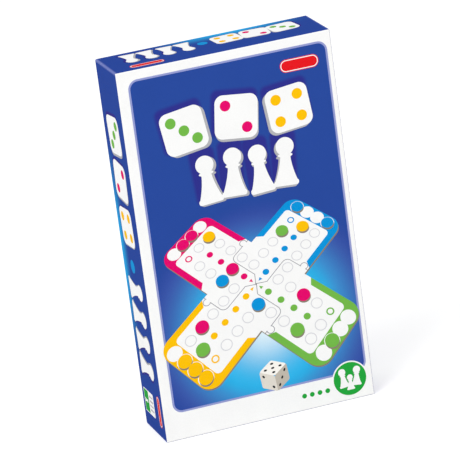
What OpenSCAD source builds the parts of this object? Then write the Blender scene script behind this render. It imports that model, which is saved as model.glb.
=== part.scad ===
// Boxed travel ludo: a full-depth lid over a base, a formed tray, four interlocking board
// plates, sixteen discs, a wooden die and a folded rules leaflet.
// Every piece is drawn with the box lying on its back, lid up: X across the front, Y up the
// front, Z from the back to the front. stand() then sets it on its end, front towards -Y.

/* [Box] */
// Width of the closed box, across the front
box_w = 110; // [104:1:130]
// Depth of the closed box, front to back
box_d = 34; // [33:1:44]
// Height of the closed box, standing on its end
box_h = 190; // [188:1:230]
// Thickness of the greyboard
board_t = 1.2; // [0.8:0.1:1.6]
// Thickness of the wrapping paper with its glue
wrap_t = 0.2; // [0.1:0.05:0.3]
// Radius of the paper over the folded edges
edge_r = 0.8; // [0.5:0.1:1.2]
// How far the wrapping paper turns in over the rims
turn_in = 14; // [8:1:20]
// Length of each leg of the paper stays at the corners
stay_leg = 12; // [6:1:20]
// Thickness of the corner stays
stay_t = 0.1; // [0.05:0.01:0.15]
// Gap between the lid's walls and the base's, on each side
fit_gap = 0.4; // [0.2:0.1:0.8]
// Gap between the base's rim and the inside of the lid's face
face_gap = 0.3; // [0.1:0.1:1]
// How far the lid's rim stops short of the back of the base
rim_step = 0.5; // [0:0.1:2]

/* [Board plates] */
// Distance between neighbouring fields of the track
pitch = 17; // [15:0.5:17.5]
// Width of the coloured margin beside the outer fields
arm_margin = 12; // [9:0.5:13]
// Length of the storage band beyond the outermost fields
end_band = 19.5; // [17:0.5:21]
// Radius of the two corners at a plate's outer end
plate_corner_r = 15; // [8:1:20]
// Radius of the tongue's inner corner
tongue_corner_r = 6; // [3:0.5:9]
// Radius of the locking knob on the tongue's tip
knob_r = 3.6; // [2.5:0.1:4.5]
// How far the knob's centre stands beyond the tongue's tip
knob_reach = 2.4; // [1.5:0.1:3]
// Gap along the seams of the assembled board
seam_gap = 0.15; // [0.05:0.05:0.3]
// Thickness of a plate
plate_t = 2.4; // [1.5:0.1:3]

/* [Discs] */
// Diameter of a disc
disc_d = 16; // [12:0.5:17]
// Thickness of a disc
disc_t = 5; // [3:0.25:6]
// Radius of the turned edge of a disc
disc_edge_r = 0.7; // [0.2:0.1:1.2]
// Depth of the shallow dish turned into both faces of a disc
dish_depth = 0.35; // [0.1:0.05:0.6]
// Width of the rim round that dish
dish_rim = 2; // [1:0.1:3]

/* [Die] */
// Edge length of the die
die_size = 14; // [10:0.5:16]
// Radius along the die's edges
die_edge_r = 1.5; // [0.5:0.25:2]
// Diameter of the ball that rounds the die's corners, as a share of its edge
die_ball = 1.56; // [1.5:0.01:1.6]
// Radius of a pip at the surface
pip_r = 1.15; // [0.6:0.05:1.4]
// Depth of a pip
pip_depth = 0.5; // [0.2:0.05:0.8]
// Distance of the outer pips from the middle lines of their face
pip_reach = 3.5; // [2:0.25:4.25]

/* [Tray] */
// Thickness of the formed plastic sheet
sheet_t = 0.6; // [0.4:0.1:1]
// Draft of the pocket walls, in degrees
draft = 3; // [1:0.5:4]
// Draft of the tray's skirt, in degrees
skirt_draft = 1; // [0.5:0.5:2]
// Gap between the tray's skirt and the base's walls
skirt_gap = 0.3; // [0.2:0.1:1]
// Radius of the tray's own corners
tray_corner_r = 5; // [3:0.5:8]
// Least gap round a piece in its pocket
pocket_gap = 0.4; // [0.2:0.1:0.8]
// Corner radius of the pockets at their floor
pocket_corner_r = 2.5; // [1:0.5:4]
// Width of the deck between the tray's edge and the pockets
deck_edge = 4.5; // [3:0.5:6]
// Width of the deck between the disc wells and the plates' pocket
deck_web = 5; // [3:0.5:7]
// How far the finger scoop between two disc wells reaches into each
scoop_reach = 3; // [1:0.5:5]
// Radius of the finger notches beside the plates
notch_r = 14; // [10:0.5:18]
// How far a finger notch reaches past the plates' pocket
notch_reach = 5; // [4:0.2:5.4]
// Depth of the two stiffening panels beside the die
panel_depth = 2; // [1:0.5:3]

/* [Rules leaflet] */
// Width of the folded leaflet
leaflet_w = 82; // [60:1:95]
// Height of the folded leaflet
leaflet_h = 148; // [100:1:175]
// Thickness of one doubled leaf
leaf_t = 0.25; // [0.15:0.05:0.3]

/* [Stacking] */
// Gap between pieces that lie on each other
stack_gap = 0.15; // [0.05:0.05:0.3]
// Space left over the leaflet, under the lid
head_room = 0.9; // [0.5:0.1:3]

/* [Hidden] */
$fn = 96;
COLOURS = ["pink", "blue", "green", "yellow"];
PAINT = ["#e4127a", "#1c8fd8", "#72b843", "#fdbf0f"];
PER_COLOUR = 4;
DISCS = [for (c = COLOURS, i = [1:PER_COLOUR]) str("disc_", c, "_", i)];

// Radius under which an edge is drawn square
least_r = 0.05;
// How far a cut runs past the face that it opens
over = 1;

// Wall of a wrapped rim: greyboard with paper on both sides
rim_t = board_t + 2 * wrap_t;
// Wall of a face or floor: greyboard with paper outside only
face_t = board_t + wrap_t;

// The base fits inside the lid's turned-in rims
base_w = box_w - 2 * rim_t - 2 * fit_gap;
base_l = box_h - 2 * rim_t - 2 * fit_gap;
base_d = box_d - face_t - face_gap;
lid_d = box_d - rim_step;

// The tray stands on the base's floor and fills it to just under the leaflet
tray_w = base_w - 2 * rim_t - 2 * skirt_gap;
tray_l = base_l - 2 * rim_t - 2 * skirt_gap;
tray_y0 = rim_t + fit_gap + rim_t + skirt_gap;
tray_y1 = tray_y0 + tray_l;
leaflet_t = 3 * leaf_t + 2 * stack_gap;
deck_z = box_d - face_t - head_room - leaflet_t - stack_gap;
tray_d = deck_z - face_t;

// Outline of one plate about the middle of the board, its arm along +Y
core_half = pitch / 2;
arm_half = 1.5 * pitch + arm_margin;
tongue_end = 2.5 * pitch;
arm_end = 5.5 * pitch + end_band;
knob_y = (1.5 * pitch + arm_half) / 2;
plate_x_min = -tongue_end - knob_reach - knob_r;
// In the box the plate's own width is centred
plate_dx = -(plate_x_min + arm_half) / 2;

// Pocket depths below the deck, and how far their walls lean out on the way up
plates_depth = len(COLOURS) * (plate_t + stack_gap);
discs_depth = PER_COLOUR * (disc_t + stack_gap);
die_depth = die_size + stack_gap;
function lean(depth) = depth * tan(draft);
plates_mouth = pocket_gap + lean(plates_depth);

// Rows of pockets, from the top of the tray down
plates_y0 = tray_y1 - deck_edge - arm_end - plates_mouth;
well_r = disc_d / 2 + pocket_gap;
well_mouth_r = well_r + lean(discs_depth);
well_pitch = (tray_w - 2 * deck_edge - 2 * well_mouth_r) / (len(COLOURS) - 1);
scoop_r = well_pitch / 2 - well_mouth_r + scoop_reach;
wells_y = plates_y0 - plates_mouth - deck_web - well_mouth_r;
die_mouth = die_size / 2 + pocket_gap + lean(die_depth);
die_y = (tray_y0 + deck_edge + wells_y - well_mouth_r) / 2;
well_xs = [for (i = [0:len(COLOURS) - 1]) (i - (len(COLOURS) - 1) / 2) * well_pitch];
panel_l = tray_w / 2 - deck_edge - deck_web - die_mouth - 2 * lean(panel_depth);
panel_x = (tray_w / 2 - deck_edge + deck_web + die_mouth) / 2;
notch_y = plates_y0 + (tongue_end + arm_end) / 2;

// Sets the lying box on its end, with its front towards -Y and its foot at Z = 0
module stand() translate([0, box_d / 2, 0]) rotate([90, 0, 0]) children();

// ---- Flat outlines ----

module round_rect(w, l, r) {
    square([w - 2 * r, l], center = true);
    square([w, l - 2 * r], center = true);
    for (x = [-1, 1], y = [-1, 1]) translate([x * (w / 2 - r), y * (l / 2 - r)]) circle(r);
}

// Side view of a covered box: square at the rim, z = 0, and round at the face, z = h
module round_top(w, h, r) {
    translate([-w / 2, 0]) square([w, h - r]);
    translate([r - w / 2, 0]) square([w - 2 * r, h]);
    for (x = [-1, 1]) translate([x * (w / 2 - r), h - r]) circle(r);
}

// ---- Covered greyboard box, rim at z = 0 and face at z = depth ----

// Block inside the cover by inset on all sides but the rim, where it starts at z0
module carton_block(w, l, depth, inset, z0) {
    r = edge_r - inset;
    bw = w - 2 * inset;
    bl = l - 2 * inset;
    h = depth - inset;
    if (r > least_r)
        intersection() {
            translate([0, 0, z0]) linear_extrude(h - z0) round_rect(bw, bl, r);
            rotate([90, 0, 0]) linear_extrude(bl, center = true) round_top(bw, h, r);
            rotate([90, 0, 90]) linear_extrude(bw, center = true) round_top(bl, h, r);
        }
    else
        translate([-bw / 2, -bl / 2, z0]) cube([bw, bl, h - z0]);
}

// Printed paper: over the outside, round the rim and a little way in
module carton_wrap(w, l, depth) {
    board_w = w - 2 * face_t;
    board_l = l - 2 * face_t;
    clear_w = board_w - 2 * wrap_t;
    clear_l = board_l - 2 * wrap_t;
    difference() {
        carton_block(w, l, depth, 0, 0);
        difference() {
            carton_block(w, l, depth, wrap_t, wrap_t);
            translate([0, 0, turn_in / 2])
                difference() {
                    cube([board_w, board_l, turn_in], center = true);
                    cube([clear_w, clear_l, turn_in + over], center = true);
                }
        }
        translate([0, 0, wrap_t]) cube([clear_w, clear_l, 2 * wrap_t + over], center = true);
    }
}

// Paper stays round the four corners of the walls, pressed flush into the board
module carton_stays(w, l, depth) {
    h = depth - face_t - wrap_t;
    intersection() {
        difference() {
            carton_block(w, l, depth, wrap_t, 2 * wrap_t);
            carton_block(w, l, depth, wrap_t + stay_t, 0);
        }
        for (x = [-1, 1], y = [-1, 1])
            translate([x * (w / 2 - wrap_t), y * (l / 2 - wrap_t), h / 2 + wrap_t])
                cube([2 * stay_leg, 2 * stay_leg, h], center = true);
    }
}

// Scored and folded greyboard
module carton_board(w, l, depth) {
    difference() {
        carton_block(w, l, depth, wrap_t, wrap_t);
        carton_block(w, l, depth, face_t, -over);
        carton_stays(w, l, depth);
    }
}

module place_lid() stand() translate([0, box_h / 2, rim_step]) children();
module place_base() stand() translate([0, box_h / 2, base_d]) mirror([0, 0, 1]) children();

module lid_board() place_lid() color("#a59c8c") carton_board(box_w, box_h, lid_d);
module lid_corner_stays() place_lid() color("#d8cbae") carton_stays(box_w, box_h, lid_d);
module lid_wrap() place_lid() color("#294b9c") carton_wrap(box_w, box_h, lid_d);
module base_board() place_base() color("#a59c8c") carton_board(base_w, base_l, base_d);
module base_corner_stays() place_base() color("#d8cbae") carton_stays(base_w, base_l, base_d);
module base_wrap() place_base() color("#2f56ac") carton_wrap(base_w, base_l, base_d);

// ---- Formed tray ----

// Block from z0 to z1 with round corners, w by l at z = 0, each side leaning out by slope per mm up
module drafted(w, l, r, z0, z1, slope) {
    for (turn = [0, 90]) {
        half = (turn == 0 ? w : l) / 2;
        along = turn == 0 ? l : w;
        rotate([90, 0, turn]) linear_extrude(along - 2 * r, center = true)
            polygon([
                [-half - slope * z0, z0], [half + slope * z0, z0],
                [half + slope * z1, z1], [-half - slope * z1, z1]
            ]);
    }
    for (x = [-1, 1], y = [-1, 1])
        translate([x * (w / 2 - r), y * (l / 2 - r), z0]) cylinder(z1 - z0, r + slope * z0, r + slope * z1);
}

// Square pocket in the deck, its walls and floor thicker by grow. It ends top above the deck.
module pocket_at(x, y, w, l, r, depth, grow, top, turn = 0) {
    d = depth + grow;
    translate([x, y, deck_z - d]) rotate([0, 0, turn])
        drafted(w + 2 * grow, l + 2 * grow, r + grow, 0, d + top, tan(draft));
}

// Part of the plates' pocket, given by its edges as on a plate's outline
module plates_part(x0, x1, y0, y1, grow, top) {
    pocket_at(plate_dx + (x0 + x1) / 2, plates_y0 + (y0 + y1) / 2, x1 - x0, y1 - y0,
        pocket_corner_r, plates_depth, grow, top);
}

// Round well in the deck, its wall and floor thicker by grow. It ends top above the deck.
module well_at(x, y, r, depth, grow, top) {
    d = depth + grow;
    translate([x, y, deck_z - d]) cylinder(d + top, r + grow, r + grow + lean(d + top));
}

// The plates' pocket follows their outline: the tongue, the neck, the arm and the rounded inner
// corner of their socket. The arm's square shoulder has room in the pocket's round corner.
module plates_pocket(grow, top) {
    g = pocket_gap;
    socket_w = (tongue_corner_r + seam_gap) * sqrt(2) + 2 * g;
    plates_part(plate_x_min - g, core_half + g, -g, arm_half + g, grow, top);
    plates_part(-arm_half - g, core_half + g, core_half, arm_end / 2, grow, top);
    plates_part(-arm_half - g, arm_half + g, tongue_end - g - pocket_corner_r / 2, arm_end + g, grow, top);
    pocket_at(plate_dx + core_half, plates_y0 + tongue_end, socket_w, socket_w,
        least_r, plates_depth, grow, top, 45);
    for (side = [-1, 1])
        well_at(plate_dx + side * (arm_half + pocket_gap + notch_reach - notch_r), notch_y,
            notch_r, plates_depth, grow, top);
}

// The wells of two neighbouring colours, with a finger scoop between them
module pair_of_wells(side, grow, top) {
    for (end = [-1, 1])
        well_at((side + end / 2) * well_pitch, wells_y, well_r, discs_depth, grow, top);
    well_at(side * well_pitch, wells_y, scoop_r, discs_depth / 2, grow, top);
}

module die_well(grow, top) {
    w = die_size + 2 * pocket_gap;
    pocket_at(0, die_y, w, w, die_edge_r + pocket_gap, die_depth, grow, top);
}

// Two shallow panels stiffen the deck beside the die
module panels(grow, top) {
    for (side = [-1, 1])
        pocket_at(side * panel_x, die_y, panel_l, die_size, pocket_corner_r, panel_depth, grow, top);
}

// The outside of the skirt and deck, or their inside, which is smaller by inset
module skirt(inset, z0) {
    translate([0, tray_y0 + tray_l / 2, face_t])
        drafted(tray_w - 2 * inset, tray_l - 2 * inset, tray_corner_r - inset, z0, tray_d - inset,
            -tan(skirt_draft));
}

// The tray is one formed sheet. Its deck and skirt are one node, and each hollow is another.
module tray() stand() color("#f2f3f5")
    difference() {
        union() {
            difference() {
                skirt(0, 0);
                skirt(sheet_t, -over);
            }
            panels(sheet_t, -sheet_t / 2);
        }
        panels(0, over);
        plates_pocket(sheet_t, over);
        for (side = [-1, 1]) pair_of_wells(side, sheet_t, over);
        die_well(sheet_t, over);
    }

module tray_plates_pocket() stand() color("#f2f3f5")
    difference() {
        plates_pocket(sheet_t, 0);
        plates_pocket(0, over);
    }

module tray_wells(side) stand() color("#f2f3f5")
    difference() {
        pair_of_wells(side, sheet_t, 0);
        pair_of_wells(side, 0, over);
    }

module tray_die_well() stand() color("#f2f3f5")
    difference() {
        die_well(sheet_t, 0);
        die_well(0, over);
    }

// ---- Board plates ----

// Tongue of one plate: a bar beside the middle, the triangle that closes the middle, and a knob
module tongue_outline(grow) {
    r = tongue_corner_r + grow;
    x0 = -tongue_end - grow;
    x1 = core_half + grow;
    y0 = core_half - grow;
    tip = -grow * sqrt(2);
    translate([x0 + r, y0]) square([x1 - x0 - r, arm_half - y0]);
    translate([x0, y0 + r]) square([2 * r, arm_half - y0 - r]);
    translate([x0 + r, y0 + r]) circle(r);
    polygon([[0, tip], [x1, x1 + tip], [x1, arm_half], [-y0 + tip, arm_half], [-y0 + tip, y0]]);
    translate([-tongue_end - knob_reach, knob_y]) circle(knob_r + grow);
}

module plate_outline() {
    difference() {
        union() {
            translate([-arm_half, core_half]) square([2 * arm_half, arm_end - core_half - plate_corner_r]);
            translate([plate_corner_r - arm_half, core_half])
                square([2 * (arm_half - plate_corner_r), arm_end - core_half]);
            for (x = [-1, 1])
                translate([x * (arm_half - plate_corner_r), arm_end - plate_corner_r]) circle(plate_corner_r);
            tongue_outline(0);
        }
        rotate(-90) tongue_outline(seam_gap);
    }
}

// Plates lie in their pocket, one on the other
module plate(i) {
    z = deck_z - plates_depth + stack_gap / 2 + i * (plate_t + stack_gap);
    stand() translate([plate_dx, plates_y0, z]) color(PAINT[i]) linear_extrude(plate_t) plate_outline();
}

// ---- Playing pieces ----

module disc_profile() {
    r = disc_d / 2;
    dish_r = r - dish_rim;
    floor_r = dish_r - dish_depth;
    difference() {
        union() {
            translate([0, disc_edge_r]) square([r, disc_t - 2 * disc_edge_r]);
            square([r - disc_edge_r, disc_t]);
            for (z = [disc_edge_r, disc_t - disc_edge_r]) translate([r - disc_edge_r, z]) circle(disc_edge_r);
        }
        for (z = [0, disc_t])
            polygon([
                [-over, z - dish_depth], [floor_r, z - dish_depth], [dish_r, z],
                [floor_r, z + dish_depth], [-over, z + dish_depth]
            ]);
    }
}

// Discs of one colour stand in their well, the first at the bottom
module disc(c, i) {
    z = deck_z - discs_depth + stack_gap / 2 + (i - 1) * (disc_t + stack_gap);
    stand() translate([well_xs[c], wells_y, z]) color(PAINT[c]) rotate_extrude() disc_profile();
}

// Pip places on one face, as shares of the pip spacing
PIPS = [
    [[0, 0]],
    [[-1, -1], [1, 1]],
    [[-1, -1], [0, 0], [1, 1]],
    [[-1, -1], [-1, 1], [1, -1], [1, 1]],
    [[-1, -1], [-1, 1], [0, 0], [1, -1], [1, 1]],
    [[-1, -1], [-1, 0], [-1, 1], [1, -1], [1, 0], [1, 1]]
];
// Turn that brings each face of the die up from the top, so that opposite faces add up to seven
FACES = [[90, 0, 0], [180, 0, 0], [0, 90, 0], [0, -90, 0], [0, 0, 0], [-90, 0, 0]];

module die_prism() linear_extrude(die_size, center = true) round_rect(die_size, die_size, die_edge_r);

module die() {
    ball_r = (pip_r * pip_r + pip_depth * pip_depth) / (2 * pip_depth);
    stand() translate([0, die_y, deck_z - die_size / 2 - stack_gap / 2]) color("#e8d7b4")
        difference() {
            intersection() {
                sphere(die_size * die_ball / 2);
                die_prism();
                rotate([90, 0, 0]) die_prism();
                rotate([0, 90, 0]) die_prism();
            }
            for (f = [0:len(FACES) - 1])
                rotate(FACES[f])
                    for (p = PIPS[f])
                        translate([p[0] * pip_reach, p[1] * pip_reach, die_size / 2 + ball_r - pip_depth])
                            sphere(ball_r);
        }
}

// ---- Rules leaflet: a sheet folded once, then in three like a letter Z ----

module rules_leaflet() {
    bend_r = leaf_t + stack_gap / 2;
    straight = leaflet_w / 2 - bend_r;
    stand() translate([0, box_h / 2, deck_z + stack_gap]) color("#f7f6f1")
        rotate([90, 0, 0]) linear_extrude(leaflet_h, center = true) {
            for (leaf = [0:2])
                translate([-straight, leaf * (leaf_t + stack_gap)]) square([2 * straight, leaf_t]);
            for (bend = [0, 1])
                mirror([bend, 0]) translate([straight, bend_r + bend * (leaf_t + stack_gap)])
                    intersection() {
                        difference() {
                            circle(bend_r);
                            circle(bend_r - leaf_t);
                        }
                        translate([0, -bend_r]) square([bend_r, 2 * bend_r]);
                    }
        }
}

lid_board();
lid_corner_stays();
lid_wrap();
base_board();
base_corner_stays();
base_wrap();
tray();
tray_plates_pocket();
tray_wells(-1);  // tray_left_wells
tray_wells(1);  // tray_right_wells
tray_die_well();
for (i = [0:len(COLOURS) - 1])
    plate(i);
for (c = [0:len(COLOURS) - 1], i = [1:PER_COLOUR])
    disc(c, i);
die();
rules_leaflet();
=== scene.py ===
"""Looks of a travel ludo in a telescoping cardboard box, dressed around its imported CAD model.
The frame is the box's own: X across the front, Y towards the back, Z up. Blender's lengths are metres,
and this script's sizes are millimetres, except in the studio."""
from functools import reduce
import math

import bpy
from mathutils import Matrix, Vector, geometry


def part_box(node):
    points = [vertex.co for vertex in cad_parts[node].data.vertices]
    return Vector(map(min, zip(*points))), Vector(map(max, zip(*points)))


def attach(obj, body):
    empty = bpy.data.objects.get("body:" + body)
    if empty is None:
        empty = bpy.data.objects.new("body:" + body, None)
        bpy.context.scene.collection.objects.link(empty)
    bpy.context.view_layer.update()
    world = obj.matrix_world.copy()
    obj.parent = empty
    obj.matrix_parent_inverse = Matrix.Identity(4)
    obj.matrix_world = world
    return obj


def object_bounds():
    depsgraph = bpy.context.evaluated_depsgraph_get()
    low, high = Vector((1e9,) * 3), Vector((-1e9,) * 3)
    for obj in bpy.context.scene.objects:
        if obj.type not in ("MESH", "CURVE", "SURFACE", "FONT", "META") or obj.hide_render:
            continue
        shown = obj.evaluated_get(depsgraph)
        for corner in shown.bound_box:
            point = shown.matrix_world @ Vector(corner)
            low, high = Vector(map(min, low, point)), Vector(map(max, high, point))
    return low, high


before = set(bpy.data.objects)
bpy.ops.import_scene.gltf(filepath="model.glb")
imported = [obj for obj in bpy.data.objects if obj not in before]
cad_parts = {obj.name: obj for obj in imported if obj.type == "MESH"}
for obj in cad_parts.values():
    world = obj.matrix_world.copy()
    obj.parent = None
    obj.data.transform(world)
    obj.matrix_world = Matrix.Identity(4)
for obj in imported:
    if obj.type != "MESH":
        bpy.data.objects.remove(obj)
cad_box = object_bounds()


# ---- Greyboard of the lid and the base ----
# Solid board of pulped waste paper, scored, folded up and held at its corners by gummed paper stays.
# It shows inside the lid: a warm grey with dark and pale fibres and the odd printed flake.

MM = 0.001


def maths(operation, swapped=False):
    """A method of Link that adds one Math node. A reflected operator has its two sides swapped."""
    def method(*values):
        sides = values[::-1] if swapped else values
        return values[0].tree.add("ShaderNodeMath", {"operation": operation}, sides)
    return method


class Link:
    """A socket of a node tree that is being built. Python's operators on it add Math nodes."""

    def __init__(self, tree, socket):
        self.tree, self.socket = tree, socket

    __add__, __radd__ = maths("ADD"), maths("ADD", swapped=True)
    __sub__, __rsub__ = maths("SUBTRACT"), maths("SUBTRACT", swapped=True)
    __mul__, __rmul__ = maths("MULTIPLY"), maths("MULTIPLY", swapped=True)
    __truediv__, __pow__ = maths("DIVIDE"), maths("POWER")
    __lt__, __gt__ = maths("LESS_THAN"), maths("GREATER_THAN")
    __abs__, root, sine = maths("ABSOLUTE"), maths("SQRT"), maths("SINE")
    least, most = maths("MINIMUM"), maths("MAXIMUM")

    def fade(self, start, end, low=0.0, high=1.0):
        """low before start, high after end, and a smooth step between them."""
        return self.tree.add("ShaderNodeMapRange", {"interpolation_type": "SMOOTHSTEP"}, {
            "Value": self, "From Min": start, "From Max": end, "To Min": low, "To Max": high})


class Tree:
    """A node tree of a material, the world or Geometry Nodes."""

    def __init__(self, tree):
        self.tree = tree
        tree.nodes.clear()

    def add(self, kind, settings, values=(), out=0):
        """One node. Its settings are set first, then its sockets' values or links, by name or in order.
        A list of links goes into one socket."""
        node = self.tree.nodes.new(kind)
        for name, value in settings.items():
            setattr(node, name, value)
        for key, value in values.items() if isinstance(values, dict) else enumerate(values):
            if isinstance(value, (Link, list)):
                for link in value if isinstance(value, list) else [value]:
                    self.tree.links.new(link.socket, node.inputs[key])
            elif value is not None:
                node.inputs[key].default_value = value
        return Link(self, node.outputs[out]) if node.outputs else None


def paint(code):
    """A printed colour, written as on screen, as Blender's linear one."""
    parts = [int(code[i:i + 2], 16) / 255 for i in (1, 3, 5)]
    return (*[c / 12.92 if c <= 0.04045 else ((c + 0.055) / 1.055) ** 2.4 for c in parts], 1.0)


class Finish(Tree):
    """A material. Its patterns are laid out in millimetres in the box's frame."""

    def __init__(self, name):
        self.material = bpy.data.materials.new(name)
        self.material.use_nodes = True
        super().__init__(self.material.node_tree)
        place = self.add("ShaderNodeTexCoord", {}, out="Object")
        self.mm = self.add("ShaderNodeVectorMath", {"operation": "SCALE"}, {"Vector": place, "Scale": 1 / MM})
        axes = self.add("ShaderNodeSeparateXYZ", {}, [self.mm]).socket.node.outputs
        self.x, self.y, self.z = (Link(self, axis) for axis in axes)

    def noise(self, size, detail=2.0, squash=(1, 1, 1), offset=0.0):
        """Noise from 0 to 1 with features of about size millimetres, stretched where squash is small."""
        vector = self.add("ShaderNodeVectorMath", {"operation": "MULTIPLY_ADD"}, [
            self.mm, squash, (offset, offset, offset)])
        return self.add("ShaderNodeTexNoise", {}, {"Vector": vector, "Scale": 1 / size, "Detail": detail})

    def blend(self, share, first, second):
        """A colour from the first, where share is 0, to the second, where it is 1."""
        return self.add("ShaderNodeMix", {"data_type": "RGBA"}, {0: share, 6: first, 7: second}, out=2)

    def choose(self, share, first, second):
        """A number from the first, where share is 0, to the second, where it is 1."""
        return self.add("ShaderNodeMix", {"data_type": "FLOAT"}, {0: share, 2: first, 3: second})

    def relief(self, height, depth, under=None):
        """A bump of height, from 0 to 1, times depth."""
        return self.add("ShaderNodeBump", {}, {
            "Height": height, "Distance": depth * MM, "Strength": 1.0, "Normal": under})

    def surface(self, colour, roughness, normal, **others):
        """The finished material. The others are further sockets of its shader."""
        values = {"Base Color": colour, "Roughness": roughness, "Normal": normal}
        values.update({name.replace("_", " "): value for name, value in others.items()})
        shader = self.add("ShaderNodeBsdfPrincipled", {}, values)
        self.add("ShaderNodeOutputMaterial", {}, {"Surface": shader})
        return self.material


def dress(name, material):
    """Gives a CAD node its finish."""
    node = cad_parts[name]
    node.data.materials.clear()
    node.data.materials.append(material)


pulp = Finish("greyboard")
fibres = pulp.noise(0.35, detail=3, squash=(1, 1, 0.45))
clouds = pulp.noise(9, detail=2)
flakes = pulp.noise(0.6, detail=1, offset=40).fade(0.70, 0.74)
specks = pulp.noise(0.5, detail=1, offset=90).fade(0.72, 0.76)
board_colour = pulp.blend(fibres.fade(0.3, 0.7), paint("#8f877a"), paint("#b3ab9c"))
board_colour = pulp.blend(clouds.fade(0.3, 0.7) * 0.35, board_colour, paint("#9c9080"))
board_colour = pulp.blend(specks * 0.7, board_colour, paint("#5c574f"))
board_colour = pulp.blend(flakes * 0.6, board_colour, paint("#c9c3b6"))
greyboard = pulp.surface(board_colour, pulp.noise(1.5).fade(0.2, 0.8, 0.78, 0.92),
                         pulp.relief(fibres + clouds * 0.5, 0.06), Specular_IOR_Level=0.25)
dress("base_board", greyboard)
dress("lid_board", greyboard)

kraft = Finish("gummed_paper")
strands = kraft.noise(0.25, detail=3, squash=(1, 0.3, 1))
kraft_colour = kraft.blend(strands.fade(0.3, 0.7), paint("#c9b48c"), paint("#dccba6"))
gummed_paper = kraft.surface(kraft_colour, strands.fade(0.2, 0.8, 0.55, 0.7), kraft.relief(strands, 0.02))
dress("base_corner_stays", gummed_paper)
dress("lid_corner_stays", gummed_paper)


# ---- Base ----
# The tray of the box: greyboard in plain blue printed paper, glued over it and turned in at the rim.
# Its floor is the back of the closed box: a thin frame line round the old cross of fields and four yards.

def box_mm(node):
    """A CAD node's lowest and highest corner."""
    return [Vector([round(value / MM, 3) for value in corner]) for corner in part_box(node)]


LENGTH_X, DEPTH_Y, HEIGHT_Z = (round((high - low) / MM, 3) for low, high in zip(*cad_box))
MIDDLE_Z = HEIGHT_Z / 2
BASE_LOW, BASE_HIGH = box_mm("base_wrap")
BASE_HALF_X, BASE_HALF_Z = BASE_HIGH.x, (BASE_HIGH.z - BASE_LOW.z) / 2
STAY_LEG, STAY_STEP = 12.0, 0.04
PAPER_WHITE = "#f4f4f3"
PLAYERS = {"pink": "#e00068", "blue": "#0090d5", "green": "#70b446", "yellow": "#f8be00"}


def film(finish, colour, duller=0.0, under=None):
    """Printed paper under a laminated film: faint fibres and print mottle below, a fine ripple in the gloss.
    The coat is fullest on the front."""
    ripple = finish.noise(2.2, detail=1)
    fibre = finish.noise(0.3, detail=2, squash=(1, 0.5, 1))
    mottle = finish.noise(0.35, detail=2).fade(0.3, 0.7, 0.0, 0.03)
    uneven = finish.noise(14, detail=2).fade(0.3, 0.7, 0.0, 0.02)
    behind_front = finish.y + DEPTH_Y / 2
    return finish.surface(
        finish.blend(uneven + mottle, colour, (0, 0, 0, 1)),
        fibre.fade(0.3, 0.7, 0.40 + duller, 0.46 + duller),
        finish.relief(ripple, 0.03, finish.relief(fibre, 0.01, under)),
        Coat_Weight=behind_front.fade(0.6, 0.2, 0.06, 0.12), Coat_Roughness=0.14, Specular_IOR_Level=0.0)


def arc(cx, cy, r, start, end, count=10):
    """Points along an arc, from start to end degrees."""
    angles = [math.radians(start + (end - start) * i / count) for i in range(count + 1)]
    return [(cx + r * math.cos(a), cy + r * math.sin(a)) for a in angles]


def circle(cx, cy, r, count=48, stretch=1.0):
    """A circle, or an ellipse where stretch isn't 1."""
    angles = [2 * math.pi * i / count for i in range(count)]
    return [(cx + r * math.cos(a), cy + stretch * r * math.sin(a)) for a in angles]


def rounded(x0, y0, x1, y1, r, count=10):
    """A rectangle with round corners."""
    corners = ((x1 - r, y1 - r, 0), (x0 + r, y1 - r, 90), (x0 + r, y0 + r, 180), (x1 - r, y0 + r, 270))
    return [point for cx, cy, start in corners for point in arc(cx, cy, r, start, start + 90, count)]


def rounded_line(x0, y0, x1, y1, r, width):
    """What to add and what to cut for a line that runs round a rectangle with round corners."""
    return [rounded(x0, y0, x1, y1, r)], [rounded(x0 + width, y0 + width, x1 - width, y1 - width, r - width)]


def face_of(origin, u, v):
    """Where flat prints go: u and v run along a face from its origin, and w stands out of it."""
    u, v = Vector(u), Vector(v)
    return Matrix.Scale(MM, 4) @ Matrix([*zip(u, v, u.cross(v), origin), (0, 0, 0, 1)])


INSIDE_ONLY, SAME_POINT = 1, 1e-5


def triangles_of(add, cut=()):
    """The union of the outlines in add, less those in cut, as points and triangles that face up."""
    points, faces = [], []
    for outline in [*add, *cut]:
        area = sum(a[0] * b[1] - b[0] * a[1] for a, b in zip(outline, outline[1:] + outline[:1]))
        faces.append(list(range(len(points), len(points) + len(outline))))
        points += [Vector(p) for p in (outline if area > 0 else outline[::-1])]
    corners, _, found, _, _, sources = geometry.delaunay_2d_cdt(points, [], faces, INSIDE_ONLY, SAME_POINT)
    return corners, [t for t, inside in zip(found, sources) if inside and max(inside) < len(add)]


# Print lies one or more levels above its face, and reaches a little below it
LEVEL, SUNK = 0.01, 0.01


def ink(name, body, slot, finish, where, level, add, cut=()):
    """A layer of ink or film: a closed flat shape, sunk into its face and some levels proud of it."""
    corners, found = triangles_of(add, cut)
    count = len(corners)
    edges = dict.fromkeys(edge for a, b, c in found for edge in ((a, b), (b, c), (c, a)))
    rim = [(a, b) for a, b in edges if (b, a) not in edges]
    faces = [tuple(t) for t in found] + [tuple(i + count for i in t[::-1]) for t in found]
    faces += [(b, a, a + count, b + count) for a, b in rim]
    mesh = bpy.data.meshes.new(name)
    mesh.from_pydata([(*p, level * LEVEL) for p in corners] + [(*p, -SUNK) for p in corners], [], faces)
    mesh.transform(where)
    mesh.materials.append(finish)
    piece = bpy.data.objects.new(name, mesh)
    bpy.context.scene.collection.objects.link(piece)
    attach(piece, body)


RADIUS, WIDTH, TOP, SIDES, MATERIAL = "Radius", "Width", "Top", "Sides", "Material"
WELD = 0.002


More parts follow.
